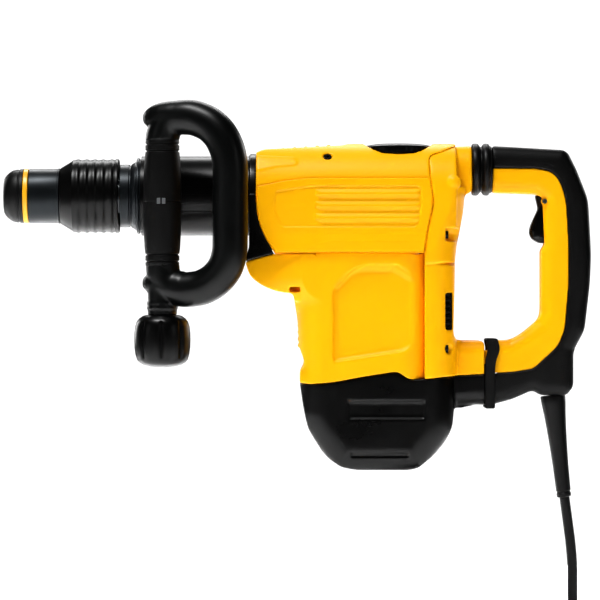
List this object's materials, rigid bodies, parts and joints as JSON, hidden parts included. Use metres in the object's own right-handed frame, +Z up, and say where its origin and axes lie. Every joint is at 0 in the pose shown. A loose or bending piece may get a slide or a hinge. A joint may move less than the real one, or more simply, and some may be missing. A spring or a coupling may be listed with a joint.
{
  "type": "demolition hammer",
  "caption": "Corded electric demolition hammer with a round tool holder, a swivelling loop side handle, a sprung D-shaped rear handle with a trigger, and a rubber cord.",
  "frame": {"origin": "centre of the tool holder's mouth, on the barrel axis", "axes": "+X back along the barrel towards the rear handle, +Z up, away from the motor"},
  "size_m": [0.6156, 0.2445, 0.5794],
  "materials": {
    "black_shell": "moulded glass-filled nylon, satin",
    "yellow_shell": "moulded nylon, fine matt grain",
    "accent_yellow": "moulded",
    "grip_rubber": "soft overmould, fine stipple",
    "seal_rubber": "moulded rubber",
    "cord_rubber": "rubber sheath",
    "hard_steel": "ground and hardened",
    "zinc_steel": "zinc plated",
    "black_metal": "black phosphate and oil",
    "cast_aluminium": "die cast",
    "spring_steel": "drawn wire",
    "laminated_iron": "varnished laminations",
    "copper_parts": "turned copper",
    "brass_parts": "stamped",
    "screw_black": "black oxide",
    "switch_plastic": "moulded"
  },
  "bodies": {
    "root": {"nose_cap": "seal_rubber", "accent_ring": "accent_yellow", "nose_collar": "black_metal", "tool_holder": "hard_steel", "locking_rollers": "hard_steel", "sleeve_spring": "spring_steel", "neck_ring": "black_metal", "barrel": "black_shell", "barrel_flange": "black_shell", "beat_guide": "hard_steel", "cylinder": "hard_steel", "gear_case": "cast_aluminium", "ball_bearings": "hard_steel", "stator": "laminated_iron", "brush_holders": "brass_parts", "upper_housing": "yellow_shell", "side_cover_left": "yellow_shell", "side_cover_right": "yellow_shell", "motor_housing": "yellow_shell", "rear_housing": "yellow_shell", "vent_inserts": "black_shell", "motor_cap": "black_shell", "cover_screws": "screw_black", "strap_seal": "seal_rubber", "pivot_pin": "hard_steel", "bellows": "seal_rubber", "damper_spring": "spring_steel"},
    "sleeve": {"locking_sleeve": "black_shell"},
    "side_handle": {"clamp_band": "black_metal", "clamp_bolt": "zinc_steel", "loop_handle": "grip_rubber", "front_grip": "grip_rubber"},
    "knob": {"clamp_knob": "black_shell"},
    "striker": {"beat_piece": "hard_steel"},
    "ram_body": {"ram": "hard_steel"},
    "piston_body": {"piston": "cast_aluminium", "wrist_pin": "hard_steel"},
    "rod_body": {"con_rod": "cast_aluminium"},
    "crank": {"crank_gear": "hard_steel", "crank_pin": "hard_steel"},
    "armature": {"motor_shaft": "hard_steel", "armature_core": "laminated_iron", "commutator": "copper_parts", "cooling_fan": "black_shell"},
    "dial": {"control_dial": "black_shell"},
    "rear_handle": {"handle_left": "yellow_shell", "handle_right": "yellow_shell", "rear_grip": "grip_rubber", "handle_screws": "screw_black", "power_switch": "switch_plastic", "trigger_pin": "hard_steel", "cord_boot": "seal_rubber", "cord": "cord_rubber", "cord_coil": "cord_rubber", "cord_tail": "cord_rubber", "cord_tie": "seal_rubber", "plug_body": "cord_rubber", "plug_pins": "zinc_steel"},
    "trigger_body": {"trigger": "black_shell"}
  },
  "joints": [
    {"name": "locking_sleeve_slide", "type": "slide", "parent": "root", "child": "sleeve", "axis": [1, 0, 0], "range_m": [0, 0.011], "stiffness_N_per_m": 1500, "springref_m": -0.01, "deforming": ["sleeve_spring"]},
    {"name": "side_handle_swivel", "type": "hinge", "parent": "root", "child": "side_handle", "pos_m": [0.1687, 0, 0], "axis": [-1, 0, 0], "range_deg": [-5, 185]},
    {"name": "clamp_knob_turn", "type": "hinge", "parent": "side_handle", "child": "knob", "pos_m": [0.1687, -0.064, -0.15], "axis": [0, 0, 1], "range_deg": [0, 360]},
    {"name": "striker_slide", "type": "slide", "parent": "root", "child": "striker", "axis": [-1, 0, 0], "range_m": [0, 0.008]},
    {"name": "ram_slide", "type": "slide", "parent": "root", "child": "ram_body", "axis": [-1, 0, 0], "range_m": [0, 0.02]},
    {"name": "piston_stroke", "type": "slide", "parent": "root", "child": "piston_body", "axis": [-1, 0, 0], "range_m": [0, 0.032]},
    {"name": "con_rod_swing", "type": "hinge", "parent": "piston_body", "child": "rod_body", "pos_m": [0.2777, 0, 0], "axis": [0, 0, 1], "range_deg": [-11.5, 11.5]},
    {"name": "motor_spin", "type": "hinge", "parent": "root", "child": "armature", "pos_m": [0.3863, 0, -0.15], "axis": [0, 0, 1], "continuous": true},
    {"name": "crank_spin", "type": "hinge", "parent": "root", "child": "crank", "pos_m": [0.3417, 0, -0.04], "axis": [0, 0, 1], "continuous": true},
    {"name": "speed_dial_turn", "type": "hinge", "parent": "root", "child": "dial", "pos_m": [0.4137, 0, 0.05], "axis": [0, 0, 1], "range_deg": [-135, 135]},
    {"name": "rear_handle_swing", "type": "hinge", "parent": "root", "child": "rear_handle", "pos_m": [0.5111, 0, -0.169], "axis": [0, -1, 0], "range_deg": [0, 2], "stiffness_Nm_per_rad": 80, "springref_deg": -5.73, "deforming": ["bellows", "damper_spring"]},
    {"name": "trigger_pull", "type": "hinge", "parent": "rear_handle", "child": "trigger_body", "pos_m": [0.5667, 0, -0.006], "axis": [0, -1, 0], "range_deg": [0, 8], "stiffness_Nm_per_rad": 1.5, "springref_deg": -5.73}
  ],
  "couplings": [
    {"joint": "crank_spin", "follows": "motor_spin", "ratio": -0.25714}
  ]
}
